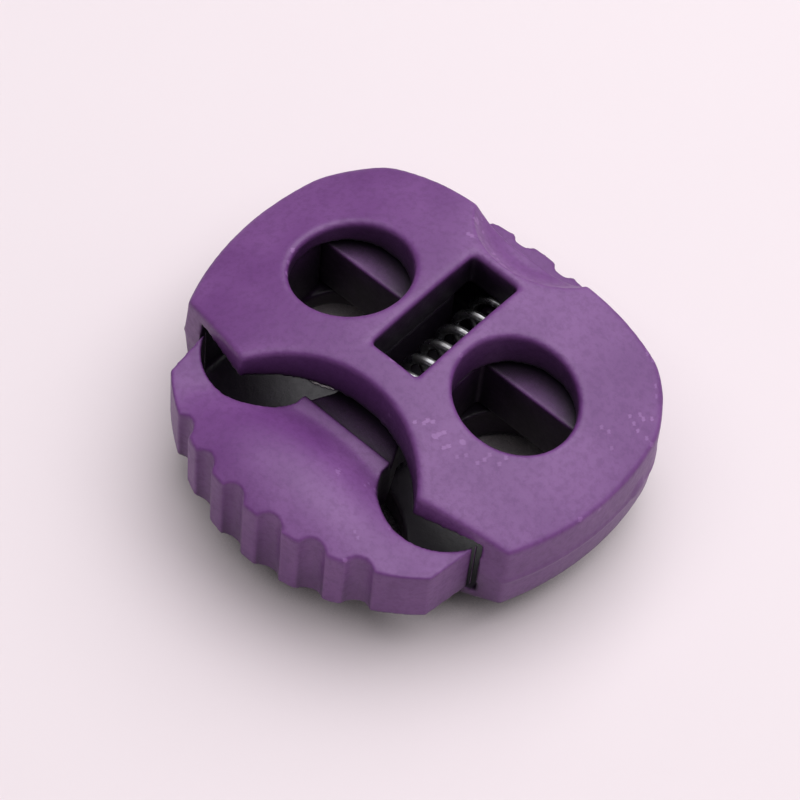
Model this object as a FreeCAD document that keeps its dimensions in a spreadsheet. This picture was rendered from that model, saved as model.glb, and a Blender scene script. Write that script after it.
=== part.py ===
import FreeCAD, Part
import math
import os
import Sketcher

# Push-button cord lock for two cords: a moulded housing with a see-through spring window,
# a moulded button whose plunger slides inside it, and a coil spring between the two.
# X runs across the two cord holes, the button faces -Y, the window faces +Z. Millimetres.

SIZES = {
    # cord holes and frame
    "hole_spacing": 8.6,
    "hole_radius": 2.5,
    "hole_rim_round": 0.22,
    "frame_shift": 1.6,
    # housing
    "half_thick": 3.7,
    "crown_across": 24.0,
    "crown_along": 45.0,
    "side_draft": 4.0,
    "corner_x": 8.5,
    "corner_y": 5.15,
    "side_bulge": 9.65,
    "mouth_cheek_x": 4.5,
    "rib_cheek_x": 3.25,
    "cheek_y": 6.3,
    "cheek_bow_x": 5.95,
    "cheek_bow_y": 6.05,
    "arch_apex": 3.95,
    "edge_round": 0.2,
    # finger scoop and ribbed ledge at the closed end
    "scoop_radius": 3.65,
    "scoop_centre": 7.8,
    "scoop_floor_radius": 2.0,
    "scoop_floor": 2.05,
    "scoop_rim_drop": 0.15,
    "scoop_wall_sag": 0.28,
    "ledge_root": 3.4,
    "ledge_half_thick": 1.95,
    "ledge_half_width": 7.75,
    "ledge_reach": 7.2,
    "ledge_crown": 40.0,
    "ledge_curve": 15.0,
    "ledge_rib_pitch": 8.0,
    "rib_groove": 0.5,
    "rib_groove_offset": 0.15,
    # cavity between the two face plates
    "cavity_half_height": 1.7,
    "mouth_half_width": 7.35,
    "guide_half_width": 6.9,
    "mouth_depth": 3.2,
    "catch_y": 1.25,
    "cavity_end": 4.9,
    "peg_radius": 0.55,
    "peg_length": 1.2,
    "peg_root": 0.5,
    # spring window, on one face only
    "window_width": 2.34,
    "window_length": 6.1,
    "window_centre": 0.75,
    # button
    "pad_half_thick": 2.45,
    "pad_crown_across": 12.0,
    "pad_crown_along": 3.6,
    "pad_crown_centre": 8.3,
    "pad_arc": 9.86,
    "pad_reach": 10.4,
    "pad_corner_x": 6.83,
    "pad_corner_y": 7.65,
    "pad_rib_pitch": 11.2,
    "pad_groove": 0.62,
    "pad_groove_offset": 0.217,
    "horn_x": 7.15,
    "horn_y": 5.2,
    "notch_x": 4.7,
    "notch_depth_y": 7.0,
    "notch_arc": 2.6,
    # plunger behind the button
    "plunger_half_thick": 1.4,
    "neck_half_width": 2.3,
    "neck_root_y": 6.4,
    "neck_end_y": 4.8,
    "neck_half_thick": 0.9,
    "neck_back_y": 3.2,
    "stem_start_y": 3.6,
    "stem_half_width": 1.7,
    "spring_slot_half": 1.3,
    "spring_seat_y": 3.0,
    "bar_near_y": 1.3,
    "bar_depth": 1.8,
    "bar_half_width": 6.35,
    "barb_half_width": 7.2,
    # spring
    "coil_radius": 0.93,
    "wire_radius": 0.2,
    "coil_turns": 7.25,
    "spring_end_gap": 0.02,
    # how far a cut runs past the edge that it opens
    "overrun": 1.0,
}

RIB_STEPS = (-2.5, -1.5, -0.5, 0.5, 1.5, 2.5)

# room that a cutting shape has beyond the body it cuts
SIDE_ROOM = 0.5
LID_ROOM = 2.0
# farthest that a domed face reaches from its crest, and the swing of its cutter:
# the steepest sine allowed, the share added for clearance and the widest swing
CREST_REACH = 12.0
STEEPEST_SINE = 0.99
SWING_MARGIN = 1.1
WIDEST_SWING = 150.0
# lengths below TINY are zero; a cut must remove LEAST_CUT; a top face ends within TOP_BAND
TINY = 1e-6
LEAST_CUT = 0.01
TOP_BAND = 0.1

doc = FreeCAD.newDocument("CordLock")


def make_sheet():
    """Put the driving sizes in a spreadsheet, one alias per size."""
    page = doc.addObject("Spreadsheet::Sheet", "Sizes")
    for row, (name, value) in enumerate(SIZES.items(), start=1):
        page.set(f"A{row}", name)
        page.set(f"B{row}", str(value))
        page.setAlias(f"B{row}", name)
    doc.recompute()
    return page


sheet = make_sheet()


def size(name):
    """Value of one spreadsheet size."""
    return float(sheet.get(name))


def bound(text):
    """Turn a formula in size names into an expression that reads the spreadsheet."""
    words = sorted(SIZES, key=len, reverse=True)
    out = ""
    place = 0
    while place < len(text):
        for word in words:
            if text.startswith(word, place):
                out += "Sizes." + word
                place += len(word)
                break
        else:
            out += text[place]
            place += 1
    return out


def worth(text):
    """Value of a formula in size names."""
    return float(sheet.evalExpression(bound(text)))


def new_body(label):
    """A PartDesign body, placed so that the whole lock is centred on the frame's origin."""
    body = doc.addObject("PartDesign::Body", label)
    body.Label = label
    body.setExpression("Placement.Base.y", "Sizes.frame_shift")
    return body


def new_sketch(body, name, role, lift=None):
    """A sketch on one of the body's origin planes, lifted along the plane's normal."""
    sketch = body.newObject("Sketcher::SketchObject", name)
    plane = [f for f in body.Origin.OriginFeatures if f.Role == role][0]
    sketch.AttachmentSupport = [(plane, "")]
    sketch.MapMode = "FlatFace"
    if lift:
        sketch.setExpression("AttachmentOffset.Base.z", bound(lift))
    return sketch


def pin_point(sketch, index, end, x_text, y_text):
    """Tie one end of a sketch element to the sketch's origin by its two coordinates."""
    for kind, text in (("DistanceX", x_text), ("DistanceY", y_text)):
        value = worth(text)
        if abs(value) < TINY:
            on_axis = Sketcher.Constraint("PointOnObject", index, end, -2 if kind == "DistanceX" else -1)
            sketch.addConstraint(on_axis)
            continue
        if value > 0:
            rule = Sketcher.Constraint(kind, -1, 1, index, end, value)
            formula = bound(text)
        else:
            rule = Sketcher.Constraint(kind, index, end, -1, 1, -value)
            formula = f"-({bound(text)})"
        number = sketch.addConstraint(rule)
        sketch.setExpression(f"Constraints[{number}]", formula)


def draw_loop(sketch, corners, bends=None):
    """Closed outline through corners given as formula pairs.

    bends maps a segment's number to a formula pair for a point that its arc passes through.
    A third formula, if there is one, ties the arc's radius.
    """
    bends = bends or {}
    count = len(corners)
    points = [FreeCAD.Vector(worth(x), worth(y), 0) for x, y in corners]
    for number in range(count):
        start = points[number]
        stop = points[(number + 1) % count]
        if number in bends:
            middle = FreeCAD.Vector(worth(bends[number][0]), worth(bends[number][1]), 0)
            sketch.addGeometry(Part.Arc(start, middle, stop), False)
        else:
            sketch.addGeometry(Part.LineSegment(start, stop), False)
    ends = []
    for number in range(count):
        same_way = (sketch.getPoint(number, 1) - points[number]).Length < TINY
        ends.append((1, 2) if same_way else (2, 1))
    for number in range(count):
        following = (number + 1) % count
        join = Sketcher.Constraint("Coincident", number, ends[number][1], following, ends[following][0])
        sketch.addConstraint(join)
    for number, (x_text, y_text) in enumerate(corners):
        pin_point(sketch, number, ends[number][0], x_text, y_text)
    for number in bends:
        rule = sketch.addConstraint(Sketcher.Constraint("Radius", number, sketch.Geometry[number].Radius))
        if len(bends[number]) > 2:
            sketch.setExpression(f"Constraints[{rule}]", bound(bends[number][2]))
    doc.recompute()


def draw_circle(sketch, x_text, y_text, radius_text):
    """A circle whose centre and radius are tied to the spreadsheet."""
    centre = FreeCAD.Vector(worth(x_text), worth(y_text), 0)
    index = sketch.addGeometry(Part.Circle(centre, FreeCAD.Vector(0, 0, 1), worth(radius_text)), False)
    rule = sketch.addConstraint(Sketcher.Constraint("Radius", index, worth(radius_text)))
    sketch.setExpression(f"Constraints[{rule}]", bound(radius_text))
    pin_point(sketch, index, 3, x_text, y_text)
    doc.recompute()


def pad(body, name, sketch, height_text, draft_text=None):
    """Raise a sketch by the same height on both sides of its plane, with draft if given."""
    feature = body.newObject("PartDesign::Pad", name)
    feature.Profile = sketch
    if draft_text:
        feature.SideType = "Two sides"
        feature.setExpression("Length", bound(height_text))
        feature.setExpression("Length2", bound(height_text))
        feature.setExpression("TaperAngle", f"-({bound(draft_text)})")
        feature.setExpression("TaperAngle2", f"-({bound(draft_text)})")
    else:
        feature.SideType = "Symmetric"
        feature.setExpression("Length", f"2 * ({bound(height_text)})")
    doc.recompute()
    return feature


def cut_check(body, feature, before):
    """A cut that removes nothing is a fault."""
    doc.recompute()
    after = body.Shape.Volume
    if not after < before - LEAST_CUT:
        raise RuntimeError(f"{feature.Name} cuts nothing: {before:.2f} to {after:.2f}")


def pocket(body, name, sketch, height_text, one_side=False):
    """Cut a sketch to a height on both sides of its plane, or only on its upper side."""
    before = body.Shape.Volume
    feature = body.newObject("PartDesign::Pocket", name)
    feature.Profile = sketch
    if one_side:
        feature.Reversed = True
        feature.setExpression("Length", bound(height_text))
    else:
        feature.SideType = "Symmetric"
        feature.setExpression("Length", f"2 * ({bound(height_text)})")
    cut_check(body, feature, before)
    return feature


def crown(body, name, half_thick, across, along, half_width, centre="0 * half_thick"):
    """Cut one domed face above the body and its mirror image below.

    The face is an arc across X, swung about a far axis parallel to X so that it is also
    arched along Y. half_width is how far the body reaches along X, and centre how far
    towards the button the top of the dome lies.
    """
    for side in ("top", "bottom"):
        sign = 1 if side == "top" else -1
        high = half_thick if sign > 0 else f"-({half_thick})"
        sketch = new_sketch(body, f"{name}_{side}_line", "XZ_Plane", centre)
        reach = worth(half_width) + SIDE_ROOM
        peak = worth(half_thick)
        radius = worth(across)
        drop = radius - math.sqrt(radius * radius - reach * reach)
        lid = peak + LID_ROOM
        left = FreeCAD.Vector(-reach, sign * (peak - drop), 0)
        right = FreeCAD.Vector(reach, sign * (peak - drop), 0)
        top = FreeCAD.Vector(0, sign * peak, 0)
        left_lid = FreeCAD.Vector(-reach, sign * lid, 0)
        right_lid = FreeCAD.Vector(reach, sign * lid, 0)
        sketch.addGeometry(Part.Arc(left, top, right), False)
        sketch.addGeometry(Part.LineSegment(right, right_lid), False)
        sketch.addGeometry(Part.LineSegment(right_lid, left_lid), False)
        sketch.addGeometry(Part.LineSegment(left_lid, left), False)
        rule = sketch.addConstraint(Sketcher.Constraint("Radius", 0, radius))
        sketch.setExpression(f"Constraints[{rule}]", bound(across))
        pin_point(sketch, 0, 3, f"0 * {across}", f"{high} - ({across})" if sign > 0 else f"{high} + {across}")
        axis_height = sign * (peak - worth(along))
        axis_a = FreeCAD.Vector(-1, axis_height, 0)
        axis_b = FreeCAD.Vector(1, axis_height, 0)
        axis = sketch.addGeometry(Part.LineSegment(axis_a, axis_b), True)
        sketch.addConstraint(Sketcher.Constraint("Horizontal", axis))
        axis_text = f"{high} - ({along})" if sign > 0 else f"{high} + {along}"
        pin_point(sketch, axis, 1, f"-1 + 0 * {along}", axis_text)
        doc.recompute()
        before = body.Shape.Volume
        groove = body.newObject("PartDesign::Groove", f"{name}_{side}")
        groove.Profile = sketch
        groove.ReferenceAxis = (sketch, ["Axis0"])
        groove.Midplane = True
        half_swing = math.degrees(math.asin(min(STEEPEST_SINE, CREST_REACH / worth(along))))
        groove.Angle = min(WIDEST_SWING, 2 * SWING_MARGIN * half_swing)
        cut_check(body, groove, before)


def cut_ribs(body, name, bow, pitch, groove):
    """Cut upright round grooves into a bowed end, so that the ribs are left between them.

    bow holds the end's radius, how far it reaches and the way it faces along Y. The
    grooves' centres stand a little outside the bow, by the groove's own offset.
    """
    radius, reach, way = bow
    sketch = new_sketch(body, f"{name}_circles", "XY_Plane")
    arm = f"({radius} + {groove}_offset)"
    for step in RIB_STEPS:
        turn = f"({step} * {pitch})"
        along = f"{way} * ({reach} - {radius} + {arm} * cos({turn}))"
        draw_circle(sketch, f"{arm} * sin({turn})", along, groove)
    pocket(body, name, sketch, "half_thick")


def domed_face(shape, sign):
    """The largest face that reaches the top (sign 1) or the bottom (sign -1) of a shape."""
    reach = shape.BoundBox.ZMax if sign > 0 else -shape.BoundBox.ZMin
    best = None
    for face in shape.Faces:
        box = face.BoundBox
        high = box.ZMax if sign > 0 else -box.ZMin
        if high > reach - TOP_BAND and (best is None or face.Area > best.Area):
            best = face
    return best


def round_edges(body, name, radius_text, pick):
    """Round the edges that pick chooses from the newest shape of a body."""
    base = body.Tip
    chosen = pick(base.Shape)
    names = []
    for number, edge in enumerate(base.Shape.Edges, start=1):
        if any(edge.isSame(other) for other in chosen):
            names.append(f"Edge{number}")
    if not names:
        raise RuntimeError(f"{name} finds no edge")
    feature = body.newObject("PartDesign::Fillet", name)
    feature.Base = (base, names)
    feature.setExpression("Radius", bound(radius_text))
    doc.recompute()
    if "Invalid" in feature.State:
        raise RuntimeError(f"{name} can't be rounded")
    return feature


def outer_rims(shape):
    """The outlines of both domed faces."""
    return [edge for sign in (1, -1) for edge in domed_face(shape, sign).OuterWire.Edges]


def inner_rims(shape):
    """The rims of the openings in both domed faces."""
    edges = []
    for sign in (1, -1):
        face = domed_face(shape, sign)
        for wire in face.Wires:
            if not wire.isSame(face.OuterWire):
                edges += wire.Edges
    return edges


def make_housing():
    """The housing: two face plates on side walls, closed by a ribbed ledge."""
    body = new_body("housing")

    ledge = new_sketch(body, "ledge_outline", "XY_Plane")
    ledge_edge = "(ledge_reach - ledge_curve + sqrt(ledge_curve ^ 2 - ledge_half_width ^ 2))"
    draw_loop(
        ledge,
        [
            ("-ledge_half_width", "ledge_root"),
            ("ledge_half_width", "ledge_root"),
            ("ledge_half_width", ledge_edge),
            ("-ledge_half_width", ledge_edge),
        ],
        {2: ("0 * ledge_reach", "ledge_reach", "ledge_curve")},
    )
    pad(body, "ledge", ledge, "ledge_half_thick")
    crown(body, "ledge_crown", "ledge_half_thick", "ledge_crown", "crown_along", "ledge_half_width")
    cut_ribs(body, "ledge_grooves", ("ledge_curve", "ledge_reach", 1), "ledge_rib_pitch", "rib_groove")

    plates = new_sketch(body, "plate_outline", "XY_Plane")
    draw_loop(
        plates,
        [
            ("corner_x", "-corner_y"),
            ("corner_x", "corner_y"),
            ("rib_cheek_x", "cheek_y"),
            ("-rib_cheek_x", "cheek_y"),
            ("-corner_x", "corner_y"),
            ("-corner_x", "-corner_y"),
            ("-mouth_cheek_x", "-cheek_y"),
            ("mouth_cheek_x", "-cheek_y"),
        ],
        {
            0: ("side_bulge", "0 * corner_y"),
            1: ("cheek_bow_x", "cheek_bow_y"),
            3: ("-cheek_bow_x", "cheek_bow_y"),
            4: ("-side_bulge", "0 * corner_y"),
            6: ("0 * arch_apex", "-arch_apex"),
        },
    )
    pad(body, "plates", plates, "half_thick", "side_draft")
    crown(body, "plate_crown", "half_thick", "crown_across", "crown_along", "side_bulge")
    round_edges(body, "plate_rims", "edge_round", outer_rims)

    dish(
        body,
        "scoop",
        ("0 * scoop_centre", "scoop_centre"),
        ("scoop_floor_radius", "scoop_floor"),
        ("scoop_radius", "half_thick - scoop_rim_drop"),
        "scoop_wall_sag",
    )
    hollow(body)
    spring_peg(body)

    holes = new_sketch(body, "cord_hole_circles", "XY_Plane")
    for sign in ("", "-"):
        draw_circle(holes, f"{sign}hole_spacing / 2", "0 * hole_radius", "hole_radius")
    pocket(body, "cord_holes", holes, "half_thick")

    window = new_sketch(body, "window_outline", "XY_Plane")
    near = "window_centre - window_length / 2"
    far = "window_centre + window_length / 2"
    draw_loop(
        window,
        [
            ("-window_width / 2", near),
            ("window_width / 2", near),
            ("window_width / 2", far),
            ("-window_width / 2", far),
        ],
    )
    pocket(body, "spring_window", window, "half_thick", one_side=True)
    round_edges(body, "hole_rims", "hole_rim_round", inner_rims)
    return body


def dish(body, name, centre, floor, rim, sag):
    """Cut a round dish with an upright axis into both faces.

    centre holds the axis's two coordinates, floor and rim the radius and height of the
    flat floor's edge and of the dish's rim, and sag how far its wall bows below a cone.
    """
    for side, sign in (("top", 1), ("bottom", -1)):
        sketch = new_sketch(body, f"{name}_{side}_profile", "XZ_Plane", f"-({centre[1]})")
        middle_x = worth(centre[0])
        floor_r, floor_z = worth(floor[0]), sign * worth(floor[1])
        rim_r, rim_z = worth(rim[0]), sign * worth(rim[1])
        lid_z = sign * (size("half_thick") + LID_ROOM)
        corners = [
            FreeCAD.Vector(middle_x, floor_z, 0),
            FreeCAD.Vector(middle_x + floor_r, floor_z, 0),
            FreeCAD.Vector(middle_x + rim_r, rim_z, 0),
            FreeCAD.Vector(middle_x + rim_r, lid_z, 0),
            FreeCAD.Vector(middle_x, lid_z, 0),
        ]
        along = (corners[2] - corners[1]).normalize()
        below = FreeCAD.Vector(along.y, -along.x, 0) * sign
        wall_point = (corners[1] + corners[2]) * 0.5 + below * worth(sag)
        sketch.addGeometry(Part.LineSegment(corners[0], corners[1]), False)
        sketch.addGeometry(Part.Arc(corners[1], wall_point, corners[2]), False)
        sketch.addGeometry(Part.LineSegment(corners[2], corners[3]), False)
        sketch.addGeometry(Part.LineSegment(corners[3], corners[4]), False)
        sketch.addGeometry(Part.LineSegment(corners[4], corners[0]), False)
        axis = sketch.addGeometry(Part.LineSegment(corners[4], corners[0]), True)
        pin_point(sketch, axis, 2, centre[0], f"{floor[1]}" if sign > 0 else f"-({floor[1]})")
        sketch.addConstraint(Sketcher.Constraint("Vertical", axis))
        doc.recompute()
        before = body.Shape.Volume
        groove = body.newObject("PartDesign::Groove", f"{name}_{side}")
        groove.Profile = sketch
        groove.ReferenceAxis = (sketch, ["Axis0"])
        groove.Angle = 360.0
        cut_check(body, groove, before)


def hollow(body):
    """The flat cavity that the plunger slides in, wide at the mouth and at the catches."""
    sketch = new_sketch(body, "cavity_outline", "XY_Plane")
    right = [
        ("mouth_half_width", "-cheek_y - overrun"),
        ("mouth_half_width", "-mouth_depth"),
        ("guide_half_width", "-mouth_depth"),
        ("guide_half_width", "catch_y"),
        ("mouth_half_width", "catch_y"),
        ("mouth_half_width", "cavity_end"),
    ]
    left = [(f"-{x}", y) for x, y in reversed(right)]
    draw_loop(sketch, right + left)
    pocket(body, "cavity", sketch, "cavity_half_height")


def spring_peg(body):
    """A short round peg on the cavity's end wall that the spring sits on."""
    sketch = new_sketch(body, "peg_profile", "XY_Plane")
    draw_loop(
        sketch,
        [
            ("0 * peg_radius", "cavity_end - peg_length"),
            ("peg_radius", "cavity_end - peg_length"),
            ("peg_radius", "cavity_end + peg_root"),
            ("0 * peg_radius", "cavity_end + peg_root"),
        ],
    )
    turned = body.newObject("PartDesign::Revolution", "peg")
    turned.Profile = sketch
    turned.ReferenceAxis = (sketch, ["V_Axis"])
    turned.Angle = 360.0
    doc.recompute()


def draw_pad_outline(sketch):
    """The thumb pad's outline: a bowed front, two horns and a notch behind each cheek."""
    draw_loop(
        sketch,
        [
            ("-pad_corner_x", "-pad_corner_y"),
            ("pad_corner_x", "-pad_corner_y"),
            ("horn_x", "-horn_y"),
            ("2 * notch_x - horn_x", "-horn_y"),
            ("horn_x - 2 * notch_x", "-horn_y"),
            ("-horn_x", "-horn_y"),
        ],
        {
            0: ("0 * pad_arc", "-pad_reach", "pad_arc"),
            2: ("notch_x", "-notch_depth_y"),
            4: ("-notch_x", "-notch_depth_y"),
        },
    )


def thin_neck(body):
    """Thin the neck between the pad's lobe and the stem, from both faces."""
    for side, lift in (("top", "neck_half_thick"), ("bottom", "-plunger_half_thick")):
        sketch = new_sketch(body, f"neck_{side}_outline", "XY_Plane", lift)
        draw_loop(
            sketch,
            [
                ("-neck_half_width", "-neck_end_y"),
                ("neck_half_width", "-neck_end_y"),
                ("neck_half_width", "-neck_back_y"),
                ("-neck_half_width", "-neck_back_y"),
            ],
        )
        pocket(body, f"neck_{side}", sketch, "plunger_half_thick - neck_half_thick", one_side=True)


def make_button():
    """The button: a domed ribbed thumb pad with its plunger behind it, one moulding."""
    body = new_body("button")

    outline = new_sketch(body, "pad_outline", "XY_Plane")
    draw_pad_outline(outline)
    pad(body, "thumb_pad", outline, "pad_half_thick")
    dome = ("pad_half_thick", "pad_crown_across", "pad_crown_along", "horn_x", "pad_crown_centre")
    crown(body, "pad_crown", *dome)
    land = new_sketch(body, "land_outline", "XY_Plane")
    draw_pad_outline(land)
    pad(body, "pad_land", land, "plunger_half_thick")
    cut_ribs(body, "pad_grooves", ("pad_arc", "pad_reach", -1), "pad_rib_pitch", "pad_groove")

    plunger = new_sketch(body, "plunger_outline", "XY_Plane")
    bar_far = "bar_near_y + bar_depth"
    right = [
        ("neck_half_width", "-neck_root_y"),
        ("neck_half_width", "-neck_end_y"),
        ("stem_half_width", "-stem_start_y"),
        ("stem_half_width", "bar_near_y"),
        ("barb_half_width", "bar_near_y"),
        ("bar_half_width", bar_far),
    ]
    left = [(f"-{x}", y) for x, y in reversed(right)]
    draw_loop(plunger, right + left)
    pad(body, "plunger", plunger, "plunger_half_thick")
    thin_neck(body)

    slot = new_sketch(body, "spring_slot_outline", "XY_Plane")
    draw_loop(
        slot,
        [
            ("-spring_slot_half", "-spring_seat_y"),
            ("spring_slot_half", "-spring_seat_y"),
            ("spring_slot_half", f"{bar_far} + overrun"),
            ("-spring_slot_half", f"{bar_far} + overrun"),
        ],
    )
    pocket(body, "spring_slot", slot, "plunger_half_thick")
    return body


def make_spring():
    """The coil spring, lying along Y between the plunger's seat and the cavity's end wall."""
    span = "(spring_seat_y + cavity_end - 2 * spring_end_gap - 2 * wire_radius)"
    coil = doc.addObject("Part::Helix", "spring_coil")
    coil.setExpression("Radius", bound("coil_radius"))
    coil.setExpression("Height", bound(span))
    coil.setExpression("Pitch", bound(f"{span} / coil_turns"))
    coil.Style = 1
    wire = doc.addObject("Part::Circle", "spring_wire")
    wire.setExpression("Radius", bound("wire_radius"))
    wire.setExpression("Placement.Base.x", bound("coil_radius"))
    wire.Placement.Rotation = FreeCAD.Rotation(FreeCAD.Vector(1, 0, 0), 90)
    swept = doc.addObject("Part::Sweep", "spring")
    swept.Label = "spring"
    swept.Sections = [wire]
    swept.Spine = (coil, [])
    swept.Solid = True
    swept.Frenet = True
    swept.Placement.Rotation = FreeCAD.Rotation(FreeCAD.Vector(1, 0, 0), -90)
    seat = "frame_shift - spring_seat_y + spring_end_gap + wire_radius"
    swept.setExpression("Placement.Base.y", bound(seat))
    doc.recompute()
    return swept


def write_pieces(pieces):
    """Check every object of the document, then write one file per piece."""
    doc.recompute()
    for item in doc.Objects:
        if "Invalid" in item.State or "Error" in item.State:
            raise RuntimeError(f"{item.Name} failed: {item.State}")
    for piece in pieces:
        if piece.Shape.isNull() or not piece.Shape.isValid():
            raise RuntimeError(f"{piece.Label} has no valid shape")
        if len(piece.Shape.Solids) != 1:
            raise RuntimeError(f"{piece.Label} has {len(piece.Shape.Solids)} solids")
    os.makedirs("parts", exist_ok=True)
    for piece in pieces:
        piece.Shape.exportStep(f"parts/{piece.Label}.step")
        box = piece.Shape.BoundBox
        sides = [round(side, 2) for side in (box.XLength, box.YLength, box.ZLength)]
        print(piece.Label, round(piece.Shape.Volume, 2), sides)


write_pieces([make_housing(), make_button(), make_spring()])
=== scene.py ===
import math

import bpy
from mathutils import Matrix, Vector


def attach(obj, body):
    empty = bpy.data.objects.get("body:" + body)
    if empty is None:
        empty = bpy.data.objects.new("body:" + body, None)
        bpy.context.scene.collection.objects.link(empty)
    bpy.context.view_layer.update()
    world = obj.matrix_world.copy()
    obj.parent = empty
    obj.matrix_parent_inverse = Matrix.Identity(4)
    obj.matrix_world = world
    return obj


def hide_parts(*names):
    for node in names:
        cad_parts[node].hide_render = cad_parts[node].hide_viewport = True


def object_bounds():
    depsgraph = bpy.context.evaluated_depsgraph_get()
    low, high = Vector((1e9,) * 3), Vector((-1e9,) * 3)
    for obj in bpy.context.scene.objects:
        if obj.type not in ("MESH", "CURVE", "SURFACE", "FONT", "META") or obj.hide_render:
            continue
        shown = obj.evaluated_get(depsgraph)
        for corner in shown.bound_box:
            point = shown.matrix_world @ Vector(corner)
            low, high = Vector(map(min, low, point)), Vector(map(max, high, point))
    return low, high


# Two-hole cord lock in purple moulded plastic, lying on a pale table.
# Metres. X runs across the cord holes, the button faces -Y, the spring window faces +Z.

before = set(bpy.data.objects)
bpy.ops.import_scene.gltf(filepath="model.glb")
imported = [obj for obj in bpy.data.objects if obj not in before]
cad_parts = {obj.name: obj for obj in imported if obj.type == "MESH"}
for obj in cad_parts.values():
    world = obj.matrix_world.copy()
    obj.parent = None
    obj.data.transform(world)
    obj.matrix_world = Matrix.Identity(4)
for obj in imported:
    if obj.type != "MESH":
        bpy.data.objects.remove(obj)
cad_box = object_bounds()

MM = 0.001
PLASTIC = (0.132, 0.036, 0.178)
PLASTIC_PALE = (0.176, 0.060, 0.228)
# deep tone of the pigment mottle, also laid into hollows as painted shade
PLASTIC_DEEP = (0.088, 0.019, 0.122)
# painted highlight along raised edges, broken up like wear
PLASTIC_RUB_HIGHLIGHT = (0.320, 0.150, 0.390)
# near-black painted shade deep inside the lock
PLASTIC_SHADED = (0.004, 0.001, 0.006)
# painted shadow on the table beneath and inside the lock
TABLE_SHADED = (0.006, 0.003, 0.008)
STEEL = (0.52, 0.52, 0.55)
STEEL_DULL = (0.30, 0.29, 0.30)
TABLE_PALE = (0.790, 0.705, 0.745)
TABLE_DEEP = (0.770, 0.680, 0.722)

# how fine each finish's noise is
HOUSING_PATCHES = 230.0
BUTTON_PATCHES = 300.0
PLASTIC_SPECKS = 3400.0
RUB_SCALE = 900.0
WIRE_STREAKS = 2400.0
TABLE_CLOUDS = 30.0
# which stretch of a noise, and then of a mask, turns from nothing to all
PATCH_SPAN = (0.35, 0.7)
SPECK_SPAN = (0.42, 0.66)
STREAK_SPAN = (0.4, 0.65)
CORNER_SPAN = (0.56, 0.63)
HOLLOW_SHADE_SPAN = (0.49, 0.43)
RUB_SPAN = (0.35, 0.65, 0.55, 1.0)
WIRE_GLOSS_SPAN = (0.3, 0.7, 0.22, 0.42)
# how much of each tone shows at its strongest
SPECK_SHARE = 0.35
RUB_HIGHLIGHT_SHARE = 0.5
HOLLOW_SHADE_SHARE = 0.5
GAP_SHADE_SHARE = 0.985
# how far a gap is felt, and how open it is where its painted shade starts and where it is full
GAP_REACH = 6.0 * MM
GAP_SAMPLES = 8
PLASTIC_OPEN = 0.72
PLASTIC_CLOSED = 0.38
TABLE_OPEN = 0.34
TABLE_CLOSED = 0.16
PLASTIC_GLOSS_LOW = 0.36
PLASTIC_GLOSS_HIGH = 0.56
PLASTIC_IOR = 1.48
SKIN_STRENGTH = 0.25
SKIN_DEPTH = 0.06 * MM
BUTTON_TINT = 1.04
TABLE_ROUGHNESS = 0.75
TABLE_SPECULAR = 0.2

CAMERA_AZIMUTH = 36.0
CAMERA_ELEVATION = 55.5
CAMERA_ROLL = 7.0
CAMERA_DISTANCE = 0.115
CAMERA_LENS = 130.0
CAMERA_CLIP = 0.01

TABLE_SIDE = 1.2
ROOM_COLOUR = (1.0, 0.985, 0.99, 1)
ROOM_STRENGTH = 0.12
# each lamp's way from the lock along the camera's right, up and back, then how far, how wide and how strong
KEY_LIGHT = ((0.45, 0.90, 0.50), 0.30, 0.34, 0.72)
FILL_LIGHT = ((0.9, 0.15, 0.6), 0.35, 0.22, 0.10)
CEILING_HEIGHT = 0.5
CEILING_SIDE = 0.8
CEILING_POWER = 2.5

HOUSING_VOXEL = 0.10 * MM
BUTTON_VOXEL = 0.08 * MM
SOFTEN_ROUNDS = 4
SOFTEN_SHARE = 0.5

# the thumb pad's shape, as it was drawn
PAD_HIGH = 2.45 * MM
PAD_LAND = 1.4 * MM
PAD_ACROSS = 12.0 * MM
PAD_ALONG = 3.6 * MM
PAD_CREST_Y = -6.7 * MM
PAD_BLEND = 0.6 * MM
PAD_INNER_Y = -3.3 * MM
# the melt takes points this far under the land and this close to the drawn height
PAD_UNDER = 0.15 * MM
PAD_NEAR = 0.35 * MM
# least tilt of a point's normal towards the face or the wall that it is counted in
FACE_TILT = 0.5
WALL_TILT = 0.3

# how far out, and in which direction from above, the closed end's corners are blunted
BLUNT_X = 0.75
BLUNT_Y = 0.66
BLUNT_START = 9.85 * MM
BLUNT_SOFT = 0.50 * MM

# marks that the mould leaves on the housing's side walls
WALL_X = 7.9 * MM
FLASH_HALF = 0.13 * MM
FLASH_HIGH = 0.045 * MM
SCAR_Y = 3.4 * MM
SCAR_RADIUS = 0.55 * MM
SCAR_HIGH = 0.09 * MM


def rgba(colour):
    """A colour with full opacity."""
    return (*colour, 1.0)


def link(tree, source, output, target, entry):
    """Join an output to an input, both by name or number."""
    tree.links.new(source.outputs[output], target.inputs[entry])


def new_group(name, inputs, outputs):
    """An empty shader node group with named sockets, and its input and output nodes."""
    group = bpy.data.node_groups.new(name, "ShaderNodeTree")
    for label, kind, value in inputs:
        socket = group.interface.new_socket(name=label, in_out="INPUT", socket_type=kind)
        socket.default_value = value
    for label, kind in outputs:
        group.interface.new_socket(name=label, in_out="OUTPUT", socket_type=kind)
    return group, group.nodes.new("NodeGroupInput"), group.nodes.new("NodeGroupOutput")


def object_noise(tree, scale, detail=3.0, roughness=0.55):
    """A noise texture fixed to the piece it is on."""
    place = tree.nodes.new("ShaderNodeTexCoord")
    cloud = tree.nodes.new("ShaderNodeTexNoise")
    cloud.inputs["Detail"].default_value = detail
    cloud.inputs["Roughness"].default_value = roughness
    link(tree, place, "Object", cloud, "Vector")
    if isinstance(scale, float):
        cloud.inputs["Scale"].default_value = scale
    else:
        tree.links.new(scale, cloud.inputs["Scale"])
    return cloud


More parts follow.
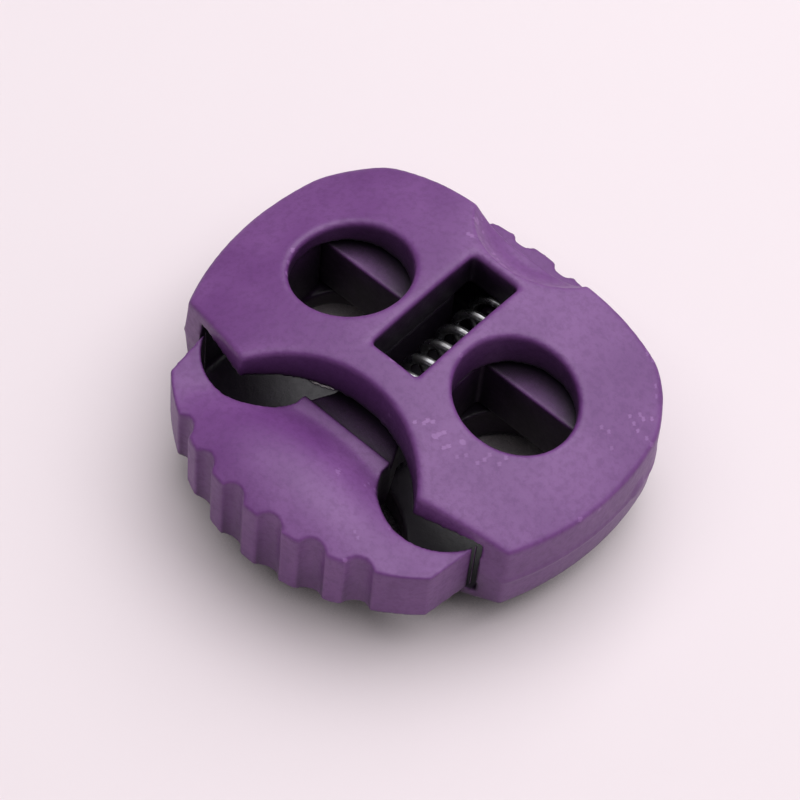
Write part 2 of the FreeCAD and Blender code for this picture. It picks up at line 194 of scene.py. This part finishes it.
def mix_colour(tree):
    """A colour mix node."""
    node = tree.nodes.new("ShaderNodeMix")
    node.data_type = "RGBA"
    return node


def span(tree, low=0.0, high=1.0, out_low=0.0, out_high=1.0):
    """A smooth remap of a value from one range to another."""
    node = tree.nodes.new("ShaderNodeMapRange")
    node.interpolation_type = "SMOOTHSTEP"
    for name, value in (("From Min", low), ("From Max", high), ("To Min", out_low), ("To Max", out_high)):
        node.inputs[name].default_value = value
    return node


def mottle_group():
    """Uneven pigment in three tones, with a matching gloss change and a fine skin texture."""
    group, entry, exit_node = new_group(
        "pigment_mottle",
        [
            ("Body", "NodeSocketColor", rgba(PLASTIC)),
            ("Pale", "NodeSocketColor", rgba(PLASTIC_PALE)),
            ("Deep", "NodeSocketColor", rgba(PLASTIC_DEEP)),
            ("Patch Scale", "NodeSocketFloat", HOUSING_PATCHES),
            ("Speck Scale", "NodeSocketFloat", PLASTIC_SPECKS),
            ("Gloss Low", "NodeSocketFloat", PLASTIC_GLOSS_LOW),
            ("Gloss High", "NodeSocketFloat", PLASTIC_GLOSS_HIGH),
        ],
        [("Colour", "NodeSocketColor"), ("Roughness", "NodeSocketFloat"), ("Height", "NodeSocketFloat")],
    )
    patches = object_noise(group, entry.outputs["Patch Scale"], 2.0)
    specks = object_noise(group, entry.outputs["Speck Scale"], 4.0, 0.7)
    patch_span = span(group, *PATCH_SPAN)
    speck_span = span(group, *SPECK_SPAN)
    link(group, patches, "Fac", patch_span, "Value")
    link(group, specks, "Fac", speck_span, "Value")
    broad = mix_colour(group)
    link(group, patch_span, "Result", broad, "Factor")
    link(group, entry, "Body", broad, "A")
    link(group, entry, "Pale", broad, "B")
    half = group.nodes.new("ShaderNodeMath")
    half.operation = "MULTIPLY"
    half.inputs[1].default_value = SPECK_SHARE
    link(group, speck_span, "Result", half, 0)
    fine = mix_colour(group)
    link(group, half, "Value", fine, "Factor")
    group.links.new(broad.outputs["Result"], fine.inputs["A"])
    link(group, entry, "Deep", fine, "B")
    gloss = group.nodes.new("ShaderNodeMapRange")
    link(group, specks, "Fac", gloss, "Value")
    link(group, entry, "Gloss Low", gloss, "To Min")
    link(group, entry, "Gloss High", gloss, "To Max")
    group.links.new(fine.outputs["Result"], exit_node.inputs["Colour"])
    link(group, gloss, "Result", exit_node, "Roughness")
    link(group, specks, "Fac", exit_node, "Height")
    return group


def edge_light_and_shade_group():
    """Painted highlight on raised corners, broken up by noise like wear where hands and other locks rub: 1
    on raised corners, 0 on faces and in hollows; a second mask marks hollows for painted shade.
    """
    group, entry, exit_node = new_group(
        "edge_highlight_and_hollow_shade",
        [("Rub Scale", "NodeSocketFloat", RUB_SCALE)],
        [("Mask", "NodeSocketFloat"), ("Hollow Shade", "NodeSocketFloat")],
    )
    surface = group.nodes.new("ShaderNodeNewGeometry")
    corner = span(group, *CORNER_SPAN)
    link(group, surface, "Pointiness", corner, "Value")
    rub = object_noise(group, entry.outputs["Rub Scale"])
    rub_span = span(group, *RUB_SPAN)
    link(group, rub, "Fac", rub_span, "Value")
    mask = group.nodes.new("ShaderNodeMath")
    mask.operation = "MULTIPLY"
    link(group, corner, "Result", mask, 0)
    link(group, rub_span, "Result", mask, 1)
    link(group, mask, "Value", exit_node, "Mask")
    # painted shade where the surface is concave
    hollow_shade = span(group, *HOLLOW_SHADE_SPAN)
    link(group, surface, "Pointiness", hollow_shade, "Value")
    link(group, hollow_shade, "Result", exit_node, "Hollow Shade")
    return group


def gap_shade_group():
    """Mask for painted shade by how deep a surface lies in a gap: 1 far inside the lock, 0 in the open."""
    group, entry, exit_node = new_group(
        "painted_gap_shade",
        [
            ("Reach", "NodeSocketFloat", GAP_REACH),
            ("Open", "NodeSocketFloat", PLASTIC_OPEN),
            ("Closed", "NodeSocketFloat", PLASTIC_CLOSED),
        ],
        [("Mask", "NodeSocketFloat")],
    )
    shade = group.nodes.new("ShaderNodeAmbientOcclusion")
    shade.samples = GAP_SAMPLES
    link(group, entry, "Reach", shade, "Distance")
    depth = span(group)
    link(group, entry, "Open", depth, "From Min")
    link(group, entry, "Closed", depth, "From Max")
    link(group, shade, "AO", depth, "Value")
    link(group, depth, "Result", exit_node, "Mask")
    return group


def new_material(name):
    """A node material, its tree and its shader."""
    material = bpy.data.materials.new(name)
    material.use_nodes = True
    tree = material.node_tree
    return material, tree, tree.nodes["Principled BSDF"]


def place_group(tree, group, **inputs):
    """A copy of a group in a material with its named inputs set."""
    node = tree.nodes.new("ShaderNodeGroup")
    node.node_tree = group
    for name, value in inputs.items():
        node.inputs[name.replace("_", " ")].default_value = value
    return node


def plastic_material(name, groups, patch_scale, tint=1.0):
    """Satin moulded plastic, paler on its edges with a painted highlight broken up like wear, darker in its
    corners with painted shade, and near black with painted shade deep in the lock.
    """
    material, tree, shader = new_material(name)
    mottle, edges, gap_shade = groups
    skin = place_group(
        tree,
        mottle,
        Body=rgba([c * tint for c in PLASTIC]),
        Pale=rgba([c * tint for c in PLASTIC_PALE]),
        Deep=rgba([c * tint for c in PLASTIC_DEEP]),
        Patch_Scale=patch_scale,
        Speck_Scale=PLASTIC_SPECKS,
        Gloss_Low=PLASTIC_GLOSS_LOW,
        Gloss_High=PLASTIC_GLOSS_HIGH,
    )
    rim_light_and_shade = place_group(tree, edges, Rub_Scale=RUB_SCALE)
    # near-black painted shade deep in the lock
    inside = place_group(tree, gap_shade, Reach=GAP_REACH, Open=PLASTIC_OPEN, Closed=PLASTIC_CLOSED)
    colour = skin.outputs["Colour"]
    # the paler edge tone is a painted highlight broken up like wear; the hollow and gap tones are painted
    # shade
    for source, output, share, tone in (
        (rim_light_and_shade, "Mask", RUB_HIGHLIGHT_SHARE, PLASTIC_RUB_HIGHLIGHT),
        (rim_light_and_shade, "Hollow Shade", HOLLOW_SHADE_SHARE, PLASTIC_DEEP),
        (inside, "Mask", GAP_SHADE_SHARE, PLASTIC_SHADED),
    ):
        part = tree.nodes.new("ShaderNodeMath")
        part.operation = "MULTIPLY"
        part.inputs[1].default_value = share
        link(tree, source, output, part, 0)
        tinted = mix_colour(tree)
        link(tree, part, "Value", tinted, "Factor")
        tree.links.new(colour, tinted.inputs["A"])
        tinted.inputs["B"].default_value = rgba(tone)
        colour = tinted.outputs["Result"]
    tree.links.new(colour, shader.inputs["Base Color"])
    link(tree, skin, "Roughness", shader, "Roughness")
    bump = tree.nodes.new("ShaderNodeBump")
    bump.inputs["Strength"].default_value = SKIN_STRENGTH
    bump.inputs["Distance"].default_value = SKIN_DEPTH
    link(tree, skin, "Height", bump, "Height")
    link(tree, bump, "Normal", shader, "Normal")
    shader.inputs["IOR"].default_value = PLASTIC_IOR
    return material


def steel_material():
    """Drawn spring wire: bright, with faint dull streaks."""
    material, tree, shader = new_material("spring_steel")
    cloud = object_noise(tree, WIRE_STREAKS)
    tone = mix_colour(tree)
    streak = span(tree, *STREAK_SPAN)
    link(tree, cloud, "Fac", streak, "Value")
    link(tree, streak, "Result", tone, "Factor")
    tone.inputs["A"].default_value = rgba(STEEL)
    tone.inputs["B"].default_value = rgba(STEEL_DULL)
    tree.links.new(tone.outputs["Result"], shader.inputs["Base Color"])
    gloss = span(tree, *WIRE_GLOSS_SPAN)
    link(tree, cloud, "Fac", gloss, "Value")
    link(tree, gloss, "Result", shader, "Roughness")
    shader.inputs["Metallic"].default_value = 1.0
    return material


def table_material(gap_shade):
    """Smooth pale table top, darkened with painted shadow where the lock closes over it."""
    material, tree, shader = new_material("pale_table")
    cloud = object_noise(tree, TABLE_CLOUDS)
    tone = mix_colour(tree)
    link(tree, cloud, "Fac", tone, "Factor")
    tone.inputs["A"].default_value = rgba(TABLE_PALE)
    tone.inputs["B"].default_value = rgba(TABLE_DEEP)
    under = place_group(tree, gap_shade, Reach=GAP_REACH, Open=TABLE_OPEN, Closed=TABLE_CLOSED)
    # painted shadow on the table where the lock closes over it
    shaded = mix_colour(tree)
    link(tree, under, "Mask", shaded, "Factor")
    tree.links.new(tone.outputs["Result"], shaded.inputs["A"])
    shaded.inputs["B"].default_value = rgba(TABLE_SHADED)
    tree.links.new(shaded.outputs["Result"], shader.inputs["Base Color"])
    shader.inputs["Roughness"].default_value = TABLE_ROUGHNESS
    shader.inputs["Specular IOR Level"].default_value = TABLE_SPECULAR
    return material


def dress(piece, material):
    """Give a piece its only material."""
    piece.data.materials.clear()
    piece.data.materials.append(material)


def baked(piece):
    """The piece's mesh with its modifiers applied, in place of the old one."""
    graph = bpy.context.evaluated_depsgraph_get()
    mesh = bpy.data.meshes.new_from_object(piece.evaluated_get(graph))
    piece.modifiers.clear()
    piece.data = mesh
    return mesh


def moulding(node, voxel, reshape):
    """A finely meshed copy of a CAD piece, its edges softened as a mould leaves them."""
    piece = bpy.data.objects.new(f"{node}_moulding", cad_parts[node].data.copy())
    bpy.context.scene.collection.objects.link(piece)
    skin = piece.modifiers.new("skin", "REMESH")
    skin.mode = "VOXEL"
    skin.voxel_size = voxel
    baked(piece)
    reshape(piece.data)
    soften = piece.modifiers.new("soften", "SMOOTH")
    soften.factor = SOFTEN_SHARE
    soften.iterations = SOFTEN_ROUNDS
    mesh = baked(piece)
    mesh.shade_smooth()
    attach(piece, node)
    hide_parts(node)
    return piece


def pad_height(x, y):
    """Height of the thumb pad's dome above the middle plane, melting into its flat land."""
    across = PAD_ACROSS - math.sqrt(max(PAD_ACROSS ** 2 - x * x, 0))
    swing = PAD_ALONG - across
    offset = y - PAD_CREST_Y
    dome = PAD_HIGH - PAD_ALONG + math.sqrt(max(swing ** 2 - offset ** 2, 0)) if swing > 0 else 0
    nearness = max(PAD_BLEND - abs(dome - PAD_LAND), 0) / PAD_BLEND
    return max(dome, PAD_LAND) + nearness ** 2 * PAD_BLEND / 4


def melt_dome(mesh):
    """Melt the foot of both domes of the thumb pad into the land around them."""
    for point in mesh.vertices:
        x, y, z = point.co
        if y > PAD_INNER_Y or abs(point.normal.z) < FACE_TILT or abs(z) < PAD_LAND - PAD_UNDER:
            continue
        drawn = pad_height(x, y)
        if abs(abs(z) - drawn) < PAD_NEAR:
            point.co.z = math.copysign(drawn, z)


def blunt_corners(mesh):
    """Blunt the two corners of the housing's closed end, seen from above."""
    for point in mesh.vertices:
        way = math.copysign(1.0, point.co.x)
        past = point.co.x * way * BLUNT_X + point.co.y * BLUNT_Y - BLUNT_START
        if past <= 0 or point.co.y < 0:
            continue
        pull = past - BLUNT_SOFT * (1 - math.exp(-past / BLUNT_SOFT))
        point.co.x -= way * BLUNT_X * pull
        point.co.y -= BLUNT_Y * pull


def shape_housing(mesh):
    """The housing's moulded details: blunt corners, the mould's flash line and its gate scar."""
    blunt_corners(mesh)
    for point in mesh.vertices:
        x, y, z = point.co
        if abs(x) < WALL_X or abs(point.normal.z) > FACE_TILT:
            continue
        way = math.copysign(1.0, x)
        if point.normal.x * way < WALL_TILT:
            continue
        lift = FLASH_HIGH if abs(z) < FLASH_HALF else 0.0
        distance = math.hypot(y - SCAR_Y, z)
        if x > 0 and distance < SCAR_RADIUS:
            lift = max(lift, SCAR_HIGH * (1 - (distance / SCAR_RADIUS) ** 4))
        point.co.x += way * lift


def camera_axes(azimuth, elevation, roll):
    """The camera's right, up and backward directions."""
    a, e, r = (math.radians(v) for v in (azimuth, elevation, roll))
    back = Vector((math.sin(a) * math.cos(e), -math.cos(a) * math.cos(e), math.sin(e)))
    level = Vector((math.cos(a), math.sin(a), 0))
    upright = back.cross(level)
    right = level * math.cos(r) + upright * math.sin(r)
    return right, back.cross(right), back


def softbox(name, place, side, power):
    """A square area light that faces the lock."""
    lamp = bpy.data.lights.new(name, "AREA")
    lamp.shape = "SQUARE"
    lamp.size = side
    lamp.energy = power
    thing = bpy.data.objects.new(name, lamp)
    bpy.context.scene.collection.objects.link(thing)
    thing.location = place
    thing.rotation_euler = (-place).to_track_quat("-Z", "Y").to_euler()


def set_stage(gap_shade):
    """Table, lights and camera."""
    low, high = cad_box
    bpy.ops.mesh.primitive_plane_add(size=TABLE_SIDE, location=(0, 0, low[2]))
    table = bpy.context.object
    table.name = "table"
    table.data.materials.append(table_material(gap_shade))

    axes = camera_axes(CAMERA_AZIMUTH, CAMERA_ELEVATION, CAMERA_ROLL)
    right, up, back = axes
    for name, lamp in (("key_light", KEY_LIGHT), ("fill_light", FILL_LIGHT)):
        shares, distance, side, power = lamp
        way = sum((axis * share for axis, share in zip(axes, shares)), Vector((0, 0, 0)))
        softbox(name, way.normalized() * distance, side, power)
    softbox("ceiling_light", Vector((0, 0, CEILING_HEIGHT)), CEILING_SIDE, CEILING_POWER)

    world = bpy.data.worlds.new("soft_room")
    world.use_nodes = True
    sky = world.node_tree.nodes["Background"]
    sky.inputs["Color"].default_value = ROOM_COLOUR
    sky.inputs["Strength"].default_value = ROOM_STRENGTH
    scene = bpy.context.scene
    scene.world = world
    scene.view_settings.view_transform = "Standard"

    camera = bpy.data.objects.new("camera", bpy.data.cameras.new("camera"))
    scene.collection.objects.link(camera)
    camera.data.lens = CAMERA_LENS
    camera.data.clip_start = CAMERA_CLIP
    turn = Matrix((right, up, back)).transposed().to_4x4()
    camera.matrix_world = Matrix.Translation(back * CAMERA_DISTANCE) @ turn
    scene.camera = camera


def build():
    """Dress every piece and set the stage."""
    gap_shade = gap_shade_group()
    groups = (mottle_group(), edge_light_and_shade_group(), gap_shade)
    coarse = 1.0
    housing = moulding("housing", HOUSING_VOXEL * coarse, shape_housing)
    dress(housing, plastic_material("housing_plastic", groups, HOUSING_PATCHES))
    button = moulding("button", BUTTON_VOXEL * coarse, melt_dome)
    button_finish = plastic_material("button_plastic", groups, BUTTON_PATCHES, BUTTON_TINT)
    dress(button, button_finish)
    dress(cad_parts["spring"], steel_material())
    set_stage(gap_shade)


build()
